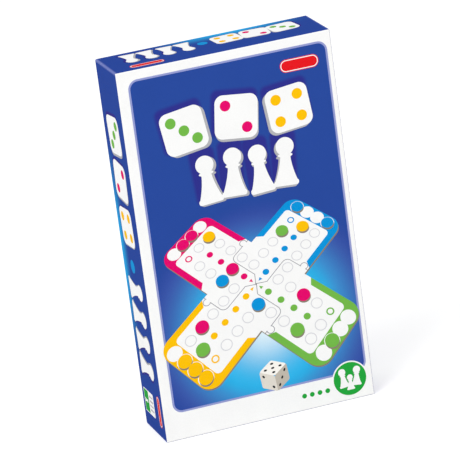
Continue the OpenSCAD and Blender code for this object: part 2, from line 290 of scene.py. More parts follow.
def marks_tree():
    """Geometry Nodes that stamp a ring, or a dot where Width is 0, on every point of a mesh."""
    group = bpy.data.node_groups.new("round_marks", "GeometryNodeTree")
    for name, kind in (("Geometry", "Geometry"), (RADIUS, "Float"), (WIDTH, "Float"), (TOP, "Float"),
                       (SIDES, "Int"), (MATERIAL, "Material")):
        group.interface.new_socket(name, in_out="INPUT", socket_type=f"NodeSocket{kind}")
    group.interface.new_socket("Geometry", in_out="OUTPUT", socket_type="NodeSocketGeometry")
    tree = Tree(group)
    given = tree.add("NodeGroupInput", {}).socket.node.outputs
    at, radius, width, top, sides, material = (Link(tree, given[i]) for i in range(6))
    circles = [tree.add("GeometryNodeCurvePrimitiveCircle", {}, {"Resolution": sides, "Radius": r})
               for r in (radius, radius - width)]
    both = tree.add("GeometryNodeJoinGeometry", {}, [circles])
    outline = tree.add("GeometryNodeSwitch", {"input_type": "GEOMETRY"}, {
        "Switch": width > 0, "False": circles[0], "True": both})
    flat = tree.add("GeometryNodeFillCurve", {}, {"Curve": outline})
    low = tree.add("GeometryNodeTransform", {}, {"Geometry": flat, "Translation": (0, 0, -SUNK)})
    high = tree.add("GeometryNodeExtrudeMesh", {"mode": "FACES"}, {
        "Mesh": low, "Offset Scale": top + SUNK, "Individual": False})
    under = tree.add("GeometryNodeFlipFaces", {}, {"Mesh": low})
    closed = tree.add("GeometryNodeJoinGeometry", {}, [[high, under]])
    stamp = tree.add("GeometryNodeMergeByDistance", {}, {"Geometry": closed, "Distance": WELD})
    placed = tree.add("GeometryNodeInstanceOnPoints", {}, {"Points": at, "Instance": stamp})
    real = tree.add("GeometryNodeRealizeInstances", {}, {"Geometry": placed})
    done = tree.add("GeometryNodeSetMaterial", {}, {"Geometry": real, "Material": material})
    tree.add("NodeGroupOutput", {}, [done])
    return group


MARKS = marks_tree()


def socket_of(tree, name):
    """The identifier of a tree's named input."""
    return next(item.identifier for item in tree.interface.items_tree
                if item.name == name and getattr(item, "in_out", "") == "INPUT")


def marks(name, body, slot, finish, where, level, radius, points, width=0.0, sides=32):
    """Round marks of one ink on the given points of a face."""
    mesh = bpy.data.meshes.new(name)
    mesh.from_pydata([(x, y, 0) for x, y in points], [], [])
    piece = bpy.data.objects.new(name, mesh)
    bpy.context.scene.collection.objects.link(piece)
    stamp = piece.modifiers.new("marks", "NODES")
    stamp.node_group = MARKS
    sizes = {RADIUS: radius, WIDTH: width, TOP: level * LEVEL, SIDES: sides, MATERIAL: finish}
    for key, value in sizes.items():
        stamp[socket_of(MARKS, key)] = value
    seen = piece.evaluated_get(bpy.context.evaluated_depsgraph_get())
    piece.data = bpy.data.meshes.new_from_object(seen)
    piece.modifiers.clear()
    piece.data.transform(where)
    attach(piece, body)


INK = {}


def mix_inks(**codes):
    """Adds printing inks under film, by name and colour."""
    for name, code in codes.items():
        INK[name] = film(Finish(f"ink_{name}"), paint(code))


base_paper = Finish("base_paper")
from_middle = abs(base_paper.z - MIDDLE_Z)
to_side, to_end = BASE_HALF_X - abs(base_paper.x), BASE_HALF_Z - from_middle
to_back = DEPTH_Y / 2 - base_paper.y
glow = (abs(base_paper.x) / BASE_HALF_X).most(from_middle / BASE_HALF_Z).fade(1.0, 0.35)
base_blue = base_paper.blend(glow * 0.45, paint("#2b4fa4"), paint("#3f74bf"))
near_fold = (to_back + to_side.least(to_end)).fade(1.4, 0.6)
rub = base_paper.noise(1.2, detail=4, offset=7).fade(0.55, 0.75) * near_fold
base_blue = base_paper.blend(rub * 0.35, base_blue, paint("#a9b8dc"))
# Each corner's stay ends a leg's length along both walls, and shows through their paper as a faint step
to_corner = base_paper.choose(to_side > to_end, to_end, to_side)
step = to_corner.fade(STAY_LEG - 0.2, STAY_LEG + 0.2) * (to_back > to_side.least(to_end))
dress("base_wrap", film(base_paper, base_blue, 0.05, base_paper.relief(step, STAY_STEP)))

mix_inks(**PLAYERS, lavender="#9098cc", white=PAPER_WHITE)
ON_BASE = ("base", "base_print")
BACK = face_of((0, DEPTH_Y / 2, 0), (-1, 0, 0), (0, 0, 1))
FRAME_IN, FRAME_R, FRAME_LINE = 9.0, 6.0, 0.9
frame_half = BASE_HALF_X - FRAME_IN
ink("back_line", *ON_BASE, INK["lavender"], BACK, 2, *rounded_line(
    -frame_half, BASE_LOW.z + FRAME_IN, frame_half, BASE_HIGH.z - FRAME_IN, FRAME_R, FRAME_LINE))

DOT_ROW_R, DOT_ROW_PITCH, DOT_ROW_IN = 2.6, 9.0, 22.0
for i, colour in enumerate(PLAYERS):
    x = (1.5 - i) * DOT_ROW_PITCH
    marks(f"back_dots_{colour}", *ON_BASE, INK[colour], BACK, 2, DOT_ROW_R,
          [(x, DOT_ROW_IN), (-x, HEIGHT_Z - DOT_ROW_IN)])

# The old cross, in steps from its middle: how far its fields lie from its two middle lines
ARM_FIELDS = [(0, 5), (1, 2), (1, 3), (1, 4), (1, 5)]
CROSS = [(a, b) for a in range(-5, 6) for b in range(-5, 6) if tuple(sorted((abs(a), abs(b)))) in ARM_FIELDS]
HOME_STEPS = (1, 2, 3, 4)


def arm_way(k):
    """The direction of a cross's k-th arm, clockwise from the top one."""
    a = math.radians(90 - 90 * k)
    return Vector((math.cos(a), math.sin(a)))


def track_points(pitch, middle):
    """The middles of a cross's track fields, round a middle at this height."""
    return [(a * pitch, b * pitch + middle) for a, b in CROSS]


def home_points(k, pitch, middle):
    """The middles of the home fields in a cross's k-th arm."""
    return [arm_way(k) * pitch * step + Vector((0, middle)) for step in HOME_STEPS]


BACK_PITCH, BACK_FIELD_R, BACK_FIELD_LINE = 7.4, 2.9, 0.5
YARD_STEPS, YARD_HALF, YARD_R, PLACE_AT = 3.5, 9.6, 4.0, 4.3
marks("back_track", *ON_BASE, INK["lavender"], BACK, 2, BACK_FIELD_R,
      track_points(BACK_PITCH, MIDDLE_Z), BACK_FIELD_LINE)
for k, colour in enumerate(PLAYERS):
    marks(f"back_home_{colour}", *ON_BASE, INK[colour], BACK, 2, 0.85 * BACK_FIELD_R,
          home_points(k, BACK_PITCH, MIDDLE_Z))
    x, y = (arm_way(k) + arm_way(k - 1)) * YARD_STEPS * BACK_PITCH + Vector((0, MIDDLE_Z))
    ink(f"back_yard_{colour}", *ON_BASE, INK[colour], BACK, 2,
        [rounded(x - YARD_HALF, y - YARD_HALF, x + YARD_HALF, y + YARD_HALF, YARD_R)])
    marks(f"back_places_{colour}", *ON_BASE, INK["white"], BACK, 4, BACK_FIELD_R,
          [(x + PLACE_AT * i, y + PLACE_AT * j) for i in (-1, 1) for j in (-1, 1)])


# ---- Tray ----
# White polystyrene sheet, warmed and drawn into its mould: satin, a little thinner and rounder in the
# deep corners, with the mould's fine grain and the light rubbing that the pieces leave.

styrene = Finish("formed_styrene")
grain = styrene.noise(0.22, detail=2)
sag = styrene.noise(26, detail=1)
scuff = styrene.noise(1.6, detail=5, squash=(1, 0.4, 0.15)).fade(0.6, 0.8)
tray_white = styrene.blend(sag.fade(0.3, 0.7) * 0.25, paint("#dbdee2"), paint("#cdd1d6"))
tray_white = styrene.blend(scuff * 0.25, tray_white, paint("#c2c5ca"))
formed = styrene.surface(tray_white, 0.34 + scuff * 0.22,
                         styrene.relief(grain, 0.012, styrene.relief(sag, 0.4)),
                         Coat_Weight=0.1, Coat_Roughness=0.2)
for part in ("tray", "tray_plates_pocket", "tray_left_wells", "tray_right_wells", "tray_die_well"):
    dress(part, formed)


# ---- Board plates ----
# Four plates of laminated greyboard, punched out so that each one's tongue and knob lock into the next.
# The face is printed: the player's colour at the outer end, a white field with rings for the track, a
# home column of dots, a start ring, and four places for the player's own discs. The edges are bare board.

# A plate's outline is laid out from the middle of the joined board, with its arm upwards
PITCH = 17.0
CORE, TONGUE_END, ARM_HALF, ARM_END = PITCH / 2, 2.5 * PITCH, 37.5, 113.0
TONGUE_R, KNOB_R, KNOB_Y, SEAM = 6.0, 3.6, 31.5, 0.15
PLATE_LEFT = -48.5


def tongue(grow):
    """Outlines that together make a plate's tongue, a little larger by grow."""
    end, low, r = -TONGUE_END - grow, CORE - grow, TONGUE_R + grow
    tip = grow * math.sqrt(2)
    bar = [(CORE + grow, ARM_HALF), (end, ARM_HALF), *arc(end + r, low + r, r, 180, 270),
           (-low - tip, low), (0, -tip), (CORE + grow, CORE + grow - tip)]
    return [bar, circle(PLATE_LEFT + KNOB_R, KNOB_Y, KNOB_R + grow, 40)]


def quarter_turned(outlines):
    """Outlines of a plate as the next plate clockwise has them."""
    return [[(y, -x) for x, y in outline] for outline in outlines]


SOCKET = quarter_turned(tongue(SEAM))
BORDER, BORDER_START, BORDER_SLANT, FIELD_END, FIELD_R = 7.0, 51.0, 5.0, 95.0, 5.0


def field():
    """The plate's white field: all of it but the coloured border at the arm's sides and outer end."""
    inner, slant_start = ARM_HALF - BORDER, BORDER_START - BORDER_SLANT
    neck = [(-ARM_HALF, CORE), (ARM_HALF, CORE), (ARM_HALF, slant_start), (inner, BORDER_START),
            (-inner, BORDER_START), (-ARM_HALF, slant_start)]
    return [neck, rounded(-inner, CORE, inner, FIELD_END, FIELD_R), *tongue(0)]


RING_R, DOT_R, STORE_R, START_R = 6.2, 3.7, 8.0, 4.2
RING_LINE, START_LINE, RING_SIDES = 0.7, 1.4, 40
START, LAST = (-PITCH, 5 * PITCH), (0, 5 * PITCH)
RINGS = [(side * PITCH, row * PITCH) for side in (-1, 1) for row in (1, 2, 3, 4, 5)] + [LAST]
RINGS.remove(START)
HOME = [(0, row * PITCH) for row in HOME_STEPS]
STORE_PITCH, STORE_Y = 14.4, 103.8
STORE = [((i - 1.5) * STORE_PITCH, STORE_Y) for i in range(4)]
ARROW = [(-1.9, 8.4), (0, 4.2), (1.9, 8.4)]
mix_inks(ring_grey="#d4d4d8")


def punched(finish, code):
    """A plate: printed face and back, and greyboard where the punch has cut through its edge."""
    plies = finish.noise(0.5, detail=3, squash=(0.1, 3, 0.1))
    edge = finish.blend(plies.fade(0.3, 0.7), paint("#8f8575"), paint("#b9af9d"))
    facing = finish.add("ShaderNodeNewGeometry", {}, out="Normal")
    printed = abs(finish.add("ShaderNodeSeparateXYZ", {}, [facing], out="Y")) > 0.5
    linen = finish.noise(0.4, detail=1)
    return finish.surface(finish.blend(printed, edge, paint(code)), linen.fade(0.3, 0.7, 0.42, 0.5),
                          finish.relief(linen, 0.01),
                          Coat_Weight=printed * 0.12, Coat_Roughness=0.2, Specular_IOR_Level=0.05)


# A plate carries one more ring on its tongue, and none where the next plate's tongue comes to lie
plate_rings = [(x, y) for x, y in RINGS if x < CORE or y > TONGUE_END] + [(-2 * PITCH, PITCH)]
BACK_IN, BACK_LOW, BACK_R, BACK_LINE, BACK_RINGS_DOWN = 4.5, 48.0, 11.0, 0.8, 26.0
back_half = ARM_HALF - BACK_IN
for colour, code in PLAYERS.items():
    plate = f"plate_{colour}"
    on_plate = (plate, f"{colour}_plate")
    own, white = INK[colour], INK["white"]
    dress(plate, punched(Finish(f"{colour}_plate_board"), code))
    low, high = box_mm(plate)
    middle_x, middle_z = low.x - PLATE_LEFT, high.z - ARM_END
    face = face_of((middle_x, low.y, middle_z), (1, 0, 0), (0, 0, 1))
    ink(f"{plate}_field", *on_plate, white, face, 2, field(), SOCKET)
    ink(f"{plate}_places", *on_plate, white, face, 2, [circle(x, y, STORE_R) for x, y in STORE])
    marks(f"{plate}_rings", *on_plate, INK["ring_grey"], face, 4, RING_R, plate_rings, RING_LINE, RING_SIDES)
    marks(f"{plate}_home", *on_plate, own, face, 4, DOT_R, HOME)
    marks(f"{plate}_start", *on_plate, own, face, 4, START_R, [START], START_LINE, RING_SIDES)
    ink(f"{plate}_arrow", *on_plate, own, face, 4, [ARROW])
    back = face_of((middle_x, high.y, middle_z), (-1, 0, 0), (0, 0, 1))
    ink(f"{plate}_back_line", *on_plate, white, back, 2, *rounded_line(
        -back_half, BACK_LOW, back_half, ARM_END - BACK_IN, BACK_R, BACK_LINE))
    marks(f"{plate}_back_rings", *on_plate, white, back, 2, STORE_R - 1,
          [(-x, y - BACK_RINGS_DOWN) for x, y in STORE], BACK_LINE, RING_SIDES)


# ---- Discs ----
# Sixteen playing pieces turned from beech, dished on both faces, and dipped in coloured lacquer: fine
# turning rings under a soft gloss, grain that just shows through, and worn lacquer on the edges.

DISC_R = 8.0
for colour, code in PLAYERS.items():
    low, high = box_mm(f"disc_{colour}_1")
    axis = (low + high) / 2
    lacquer = Finish(f"{colour}_lacquer")
    across, up = lacquer.x - axis.x, lacquer.z - axis.z
    radius = (across * across + up * up).root()
    turning = (radius * 9 + lacquer.noise(3) * 2).sine() * 0.5 + 0.5
    figure = lacquer.noise(1.1, detail=4, squash=(0.25, 1, 1))
    deep = (*(c * 0.87 for c in paint(code)[:3]), 1.0)
    tone = lacquer.blend(figure.fade(0.35, 0.7), deep, paint(code))
    worn = lacquer.noise(0.8, detail=4, offset=21).fade(0.62, 0.75) * radius.fade(DISC_R - 0.5, DISC_R - 0.05)
    tone = lacquer.blend(worn * 0.5, tone, paint("#d9b98a"))
    lacquered = lacquer.surface(tone, figure.fade(0.2, 0.8, 0.26, 0.36),
                                lacquer.relief(turning, 0.01, lacquer.relief(figure, 0.015)),
                                Coat_Weight=0.35, Coat_Roughness=0.12)
    for i in (1, 2, 3, 4):
        dress(f"disc_{colour}_{i}", lacquered)


# ---- Die ----
# A cube of pale beech, sawn and then tumbled until its edges are round. Its pips are drilled and painted,
# and clear lacquer goes over all of it.

PIPS_REACH = 5.2
low, high = box_mm("die")
middle, half = (low + high) / 2, (high.x - low.x) / 2
beech = Finish("die_beech")
sides = [abs(axis - at) for axis, at in zip((beech.x, beech.y, beech.z), middle)]
largest = sides[0].most(sides[1]).most(sides[2])
smallest = sides[0].least(sides[1]).least(sides[2])
second = sides[0] + sides[1] + sides[2] - largest - smallest
# Paint lies only below the faces, and within the square that the pips take up
pip = (half - largest).fade(0.01, 0.05) * second.fade(PIPS_REACH, PIPS_REACH - 0.2)
growth = beech.noise(1.6, detail=3, squash=(1, 1, 0.12))
pores = beech.noise(0.25, detail=2, squash=(1, 1, 0.15)).fade(0.62, 0.72)
wood = beech.blend(growth.fade(0.3, 0.7), paint("#e3cda0"), paint("#f0e2c2"))
wood = beech.blend(pores * 0.4, wood, paint("#c6a877"))
wood = beech.blend(pip, wood, paint("#17161a"))
dress("die", beech.surface(wood, pip.fade(0, 1, 0.38, 0.3), beech.relief(growth + pores * -0.6, 0.03),
                           Coat_Weight=0.3, Coat_Roughness=0.18))


# ---- Rules leaflet ----
# One sheet of uncoated offset paper, folded once and then in three like a letter Z, a little wavy from
# the folding. Its front has plain diagrams: a small board cross, and ruled bars where rules would run.

low, high = box_mm("rules_leaflet")
offset_paper = Finish("offset_paper")
mottle = offset_paper.noise(3.5, detail=3)
tooth = offset_paper.noise(0.18, detail=2)
waves = offset_paper.noise(34, detail=1, squash=(1, 1, 0.4), offset=5)
# Painted shade: the paper is darker within 2.5 mm of its folded edges
fold_shade = (high.x - abs(offset_paper.x)).fade(2.5, 0.1)
leaf_white = offset_paper.blend(mottle.fade(0.3, 0.7) * 0.5, paint("#efeee8"), paint("#e6e5de"))
leaf_white = offset_paper.blend(fold_shade * 0.25, leaf_white, paint("#d8d6cf"))
waviness = offset_paper.relief(mottle, 0.05, offset_paper.relief(waves, 1.2))
dress("rules_leaflet", offset_paper.surface(
    leaf_white, mottle.fade(0.2, 0.8, 0.8, 0.9), offset_paper.relief(tooth, 0.01, waviness),
    Specular_IOR_Level=0.3))

mix_inks(rule_grey="#8b8f9c")
ON_LEAFLET = ("rules_leaflet", "leaflet_paper")
LEAF = face_of((0, low.y, (low.z + high.z) / 2), (1, 0, 0), (0, 0, 1))
LEAF_PITCH, LEAF_CROSS_UP, LEAF_SIDES = 5.2, 26, 24
LEAF_FIELD_R, LEAF_FIELD_LINE, LEAF_HOME_R = 2.0, 0.35, 1.6
marks("leaflet_track", *ON_LEAFLET, INK["rule_grey"], LEAF, 1, LEAF_FIELD_R,
      track_points(LEAF_PITCH, LEAF_CROSS_UP), LEAF_FIELD_LINE, LEAF_SIDES)
for k, colour in enumerate(PLAYERS):
    marks(f"leaflet_home_{colour}", *ON_LEAFLET, INK[colour], LEAF, 1, LEAF_HOME_R,
          home_points(k, LEAF_PITCH, LEAF_CROSS_UP), sides=LEAF_SIDES)
BARS, BAR_HALF, BAR_PITCH, BARS_TOP = 15, 32.0, 3.4, -13.0
BAR_SHORTER = (0, 5, 2, 9, 0, 14, 3, 7, 1, 20)
bars = []
for i in range(BARS):
    top = BARS_TOP - BAR_PITCH * i
    bars.append(rounded(-BAR_HALF, top - 1, BAR_HALF - BAR_SHORTER[i % len(BAR_SHORTER)], top, 0.4, 3))
ink("leaflet_bars", *ON_LEAFLET, INK["rule_grey"], LEAF, 1, bars)


# ---- Lid ----
# The full-depth lid: greyboard in offset printed art paper under a gloss film, glued round every fold
# and turned in at the rim. White front with a blue panel, blue sides that brighten towards the back.

# The sides' and ends' blue is painted shade: a darker copy of the front's printed blue, to offset the sheen
# they catch at a slant
BLUE, DARKENED_SIDE_BLUE, VIOLET, CYAN = "#244698", "#1b4098", "#2c2785", "#1fb0ee"
GLOW_X, GLOW_HALF_X, GLOW_Z, GLOW_HALF_Z = 13.0, 44.0, 92.0, 62.0

lid_paper = Finish("lid_paper")
to_side = (lid_paper.x + LENGTH_X / 2).least(LENGTH_X / 2 - lid_paper.x)
to_end = (HEIGHT_Z - lid_paper.z).least(lid_paper.z)
to_front = lid_paper.y + DEPTH_Y / 2
on_front = (to_side.least(to_end) - to_front).fade(-0.06, 0.06)
on_end = to_end < to_side
along, across = abs(lid_paper.z - GLOW_Z) / GLOW_HALF_Z, abs(lid_paper.x - GLOW_X) / GLOW_HALF_X
middle_glow = lid_paper.choose(on_end, along, across).fade(1.0, 0.1)
back_glow = lid_paper.y.fade(4, 18.5) ** 1.2
# The sides and ends start from that darkened blue (painted shade), with the printed cyan glow towards the
# back
side_colour = lid_paper.blend(middle_glow * back_glow, paint(DARKENED_SIDE_BLUE), paint(CYAN))
fold = to_side + to_end
# Painted highlight: a lavender tint along the folds between the sides and the ends, fullest at the edge and
# gone 1.5 mm from it
side_colour = lid_paper.blend(fold.fade(1.5, 0.2) * 0.62, side_colour, paint("#8f97cf"))
print_and_highlight = lid_paper.blend(on_front, side_colour, paint(PAPER_WHITE))
any_fold = fold.least(to_front + to_side.least(to_end))
rub = lid_paper.noise(0.9, detail=5, offset=13).fade(0.58, 0.72) * any_fold.fade(0.75, 0.3)
print_and_highlight = lid_paper.blend(rub * 0.5, print_and_highlight, paint("#dfe2ea"))
to_corner = lid_paper.choose(on_end, to_end, to_side)
step = to_corner.fade(STAY_LEG - 0.2, STAY_LEG + 0.2) * (1 - on_front)
dress("lid_wrap", film(lid_paper, print_and_highlight, 0.0, lid_paper.relief(step, STAY_STEP)))

# Title motifs: three dice faces over four pawns, white with grey sides, each as if it stood on the panel.
# A row gives x, z and turn, then a die's pips and their colour, and last the way its grey sides run
TITLE_DICE = [(-24.8, 155.0, 8, 3, "green", (1.5, -0.9)), (2.2, 156.6, -7, 2, "pink", (0.3, -1.3)),
              (29.2, 155.4, 6, 4, "yellow", (-1.3, -1.0))]
TITLE_PAWNS = [(-16.4, 128.4, 4, (1.3, -0.7)), (-2.9, 129.4, -3, (1.0, -0.9)),
               (10.6, 128.2, 3, (0.4, -1.0)), (24.1, 129.0, -4, (-1.0, -0.9))]
DIE_SHADE, PAWN_SHADE, SHADE_X, SHADE_Z = (8.5, 8.5), (3.2, 11.0), -0.8, 2.0

PANEL_GLOW_X, PANEL_GLOW_Z = 3.0, 50.0
panel_paper = Finish("panel_print")
from_x, from_z = panel_paper.x - PANEL_GLOW_X, panel_paper.z - PANEL_GLOW_Z
radius = (from_x * from_x + from_z * from_z).root()
panel_blue = panel_paper.blend(radius.fade(64, 29) ** 1.7, paint(BLUE), paint("#2ab0e5"))
panel_blue = panel_paper.blend(radius.fade(64, 50) * radius.fade(33, 42) * 0.15, panel_blue, paint("#7150be"))
panel_blue = panel_paper.blend(radius.fade(36, 0) ** 1.6, panel_blue, paint("#e4f2f7"))


def outside(finish, x, z, turn, half_x, half_z):
    """Distance outside a turned rectangle."""
    c, s = math.cos(math.radians(turn)), math.sin(math.radians(turn))
    across, up = finish.x - x, finish.z - z
    side = (abs(across * c + up * s) - half_x).most(0.0)
    end = (abs(up * c - across * s) - half_z).most(0.0)
    return (side * side + end * end).root()


away = [outside(panel_paper, x + SHADE_X, z + SHADE_Z, turn, *halves)
        for motifs, halves in ((TITLE_DICE, DIE_SHADE), (TITLE_PAWNS, PAWN_SHADE))
        for x, z, turn, *_ in motifs]
shade = reduce(Link.least, away).fade(4.6, 2.2) * 0.85
INK["panel"] = film(panel_paper, panel_paper.blend(shade, panel_blue, paint(VIOLET)))

ON_LID = ("lid", "lid_print")
FRONT = face_of((0, -DEPTH_Y / 2, 0), (1, 0, 0), (0, 0, 1))
LEFT = face_of((-LENGTH_X / 2, 0, 0), (0, -1, 0), (0, 0, 1))
RIGHT = face_of((LENGTH_X / 2, 0, 0), (0, 1, 0), (0, 0, 1))
ABOVE = face_of((0, 0, HEIGHT_Z), (1, 0, 0), (0, 1, 0))
PANEL, PANEL_R, PANEL_LINE = (-49.5, 14.1, 52.4, 185.1), 5.0, 1.0
ink("panel", *ON_LID, INK["panel"], FRONT, 1, [rounded(*PANEL, PANEL_R)])
ink("panel_line", *ON_LID, INK["lavender"], FRONT, 2, *rounded_line(*PANEL, PANEL_R, PANEL_LINE))


def placed(outline, x, z, turn=0.0, scale=1.0):
    """An outline turned by degrees about its origin, scaled and moved to x, z."""
    c, s = scale * math.cos(math.radians(turn)), scale * math.sin(math.radians(turn))
    return [(x + a * c - b * s, z + a * s + b * c) for a, b in outline]


def swept(outlines, shift, count=10):
    """Outlines drawn out along a shift, as a raised shape's sides are."""
    return [[(x + shift[0] * i / count, z + shift[1] * i / count) for x, z in outline]
            for outline in outlines for i in range(count + 1)]


def pawn():
    """A pawn's outlines, one unit high about its middle: foot, cone, collar and head."""
    cone = [(-0.235, -0.40), (0.235, -0.40)]
    cone += [(0.10 + 0.135 * (1 - t) ** 1.8, -0.40 + 0.60 * t) for t in (0.15, 0.3, 0.5, 0.7, 0.85, 1)]
    cone += [(-x, z) for x, z in cone[:1:-1]]
    return [rounded(-0.26, -0.5, 0.26, -0.385, 0.05, 5), cone, circle(0, 0.13, 0.155, 32, 0.28),
            circle(0, 0.31, 0.19, 40)]


DIE_HALF, DIE_R, PIP_R, PIP_AT, PAWN_SIZE, SHADE_STRETCH = 11.0, 4.2, 2.7, 5.6, 24.5, 1.3
DIE_FACE = rounded(-DIE_HALF, -DIE_HALF, DIE_HALF, DIE_HALF, DIE_R)
PIPS = {2: [(-1, 1), (1, -1)], 3: [(-1, 1), (0, 0), (1, -1)], 4: [(-1, 1), (1, 1), (-1, -1), (1, -1)]}
# The sides' and top end's white ink is painted light: a lighter copy of the front's white, to make up for the
# weaker light those faces get
mix_inks(side_grey="#aeaeb2", side_white="#f9f9f8", violet=VIOLET)


def motif_row(name, where, dice, pawns, scale=1.0, turn=0.0):
    """Dice faces and pawns, raised in print, on one face of the lid."""
    shapes = [[placed(DIE_FACE, x, z, a + turn, scale)] for x, z, a, *_ in dice]
    shapes += [[placed(part, x, z, a + turn, PAWN_SIZE * scale) for part in pawn()] for x, z, a, _ in pawns]
    shifts = [motif[-1] for motif in [*dice, *pawns]]
    if turn:
        shades = [(-SHADE_STRETCH * x, -SHADE_STRETCH * z) for x, z in shifts]
        ink(f"{name}_shade", *ON_LID, INK["violet"], where, 2,
            [part for shape, shift in zip(shapes, shades) for part in swept(shape, shift, 5)])
    ink(f"{name}_sides", *ON_LID, INK["side_grey"], where, 4,
        [part for shape, shift in zip(shapes, shifts) for part in swept(shape, shift)])
    # On the sides and the top end the shapes take the lighter white, painted light against the weaker light
    # there
    ink(f"{name}_shapes", *ON_LID, INK["side_white" if turn else "white"], where, 6,
        [part for shape in shapes for part in shape])
    for x, z, a, count, colour, _ in dice:
        pips = placed([(PIP_AT * i, PIP_AT * j) for i, j in PIPS[count]], x, z, a + turn, scale)
        marks(f"{name}_pips_{colour}", *ON_LID, INK[colour], where, 8, PIP_R * scale, pips)


motif_row("title", FRONT, TITLE_DICE, TITLE_PAWNS)

# Badge in the panel's upper right corner. A layer has its ink, its level and its distance inside the edge
mix_inks(red="#e2141c")
BADGE_LAYERS = {"rim": ("red", 3, 0), "line": ("white", 5, 0.35), "field": ("red", 7, 0.8)}
BADGE_ROUND = 0.96


def badge(name, where, x, z, length, height, turn=0.0):
    """A plain pill of red ink with a white line just inside its edge."""
    for part, (colour, level, inside) in BADGE_LAYERS.items():
        a, b = length / 2 - inside, height / 2 - inside
        ink(f"{name}_{part}", *ON_LID, INK[colour], where, level,
            [placed(rounded(-a, -b, a, b, b * BADGE_ROUND), x, z, turn)])


badge("front_badge", FRONT, 37.3, 176.1, 20, 6.6)

# Picture of the board: its four plates joined and seen a little from below, so that near arms are larger
PICTURE_X, PICTURE_Z, PICTURE_SCALE, NEAR, FLAT = 1.1, 70.7, 0.478, 0.00266, 0.9
ARM_TURN = {"pink": 44, "blue": -46, "green": 224, "yellow": 134}


def pictured(colour, outlines, shift=(0, 0)):
    """Outlines of a plate's print, where they lie in the picture."""
    c, s = math.cos(math.radians(ARM_TURN[colour])), math.sin(math.radians(ARM_TURN[colour]))
    found = []
    for outline in outlines:
        found.append([])
        for x, y in outline:
            a, b = PICTURE_SCALE * (x * c - y * s), FLAT * PICTURE_SCALE * (x * s + y * c)
            nearer = 1 + NEAR * b
            found[-1].append((PICTURE_X + a / nearer + shift[0], PICTURE_Z + b / nearer + shift[1]))
    return found


ARM_R = 15.0
outer_end = arc(ARM_HALF - ARM_R, ARM_END - ARM_R, ARM_R, 0, 90)
outer_end += [(-x, y) for x, y in outer_end[::-1]]
WHOLE_PLATE = [[(-ARM_HALF, CORE), (ARM_HALF, CORE), *outer_end], *tongue(0)]
EDGE_SHIFT, DISC_SHIFT, DISC_LIFT, PICTURED_DISC_R = (0.25, -0.8), (0.15, -0.75), (0, 0.15), 7.2
PICTURED_RING_LINE, PICTURED_START_LINE, SEAM_LINE = 1.0, 1.5, 0.7
mix_inks(board_edge="#857b6c", seam="#85858d")
ink("picture_edges", *ON_LID, INK["board_edge"], FRONT, 2.5,
    [side for colour in PLAYERS for side in swept(pictured(colour, WHOLE_PLATE), EDGE_SHIFT, 4)])
start_dot, start_hole = (circle(*START, r, 24) for r in (START_R, START_R - PICTURED_START_LINE))
for colour in PLAYERS:
    ink(f"picture_plate_{colour}", *ON_LID, INK[colour], FRONT, 4,
        pictured(colour, WHOLE_PLATE), pictured(colour, SOCKET))
    ink(f"picture_home_{colour}", *ON_LID, INK[colour], FRONT, 7,
        pictured(colour, [*(circle(x, y, DOT_R, 20) for x, y in HOME), ARROW, start_dot]),
        pictured(colour, [start_hole]))
white_parts = field() + [circle(x, y, STORE_R, 32) for x, y in STORE]
ink("picture_fields", *ON_LID, INK["white"], FRONT, 5.5,
    [part for colour in PLAYERS for part in pictured(colour, white_parts)])
for colour in PLAYERS:
    ink(f"picture_seam_{colour}", *ON_LID, INK["seam"], FRONT, 7,
        pictured(colour, tongue(SEAM_LINE)), pictured(colour, tongue(0) + quarter_turned(tongue(0))))
rings, holes = ([circle(x, y, r, 24) for x, y in RINGS] for r in (RING_R, RING_R - PICTURED_RING_LINE))
ink("picture_rings", *ON_LID, INK["ring_grey"], FRONT, 6.5,
    [part for colour in PLAYERS for part in pictured(colour, rings)],
    [part for colour in PLAYERS for part in pictured(colour, holes)])

# Discs in the picture: those in their own arm's places, and those on the track, by arm, side, row and colour
STORED = {"pink": [1, 2], "blue": [0, 3], "green": [2], "yellow": [0, 1, 2]}
ON_TRACK = [("pink", -1, 2, "blue"), ("pink", 0, 2, "pink"), ("pink", 1, 5, "yellow"),
            ("blue", -1, 4, "green"), ("blue", 0, 5, "yellow"), ("green", -1, 3, "pink"),
            ("green", 1, 4, "green"), ("yellow", 1, 4, "pink"), ("yellow", 0, 5, "green"),
            ("yellow", -1, 1, "blue")]
lying = [(arm, *STORE[i], arm) for arm, places in STORED.items() for i in places]
lying += [(arm, side * PITCH, row * PITCH, colour) for arm, side, row, colour in ON_TRACK]
lying = [(arm, [circle(x, y, PICTURED_DISC_R, 32)], colour) for arm, x, y, colour in lying]
ink("picture_disc_edges", *ON_LID, INK["board_edge"], FRONT, 8,
    [side for arm, disc, _ in lying for side in swept(pictured(arm, disc), DISC_SHIFT, 4)])
for colour in PLAYERS:
    ink(f"picture_discs_{colour}", *ON_LID, INK[colour], FRONT, 9,
        [part for arm, disc, own in lying if own == colour for part in pictured(arm, disc, DISC_LIFT)])


def soft(outline, r, count=6):
    """An outline whose corners are rounded over a length r of both of their edges."""
    points = []
    for before, at, after in zip(outline[-1:] + outline[:-1], outline, outline[1:] + outline[:1]):
        a, b = at + (before - at).normalized() * r, at + (after - at).normalized() * r
        shares = [i / count for i in range(count + 1)]
        points += [tuple(a * (1 - t) ** 2 + at * 2 * t * (1 - t) + b * t * t) for t in shares]
    return points


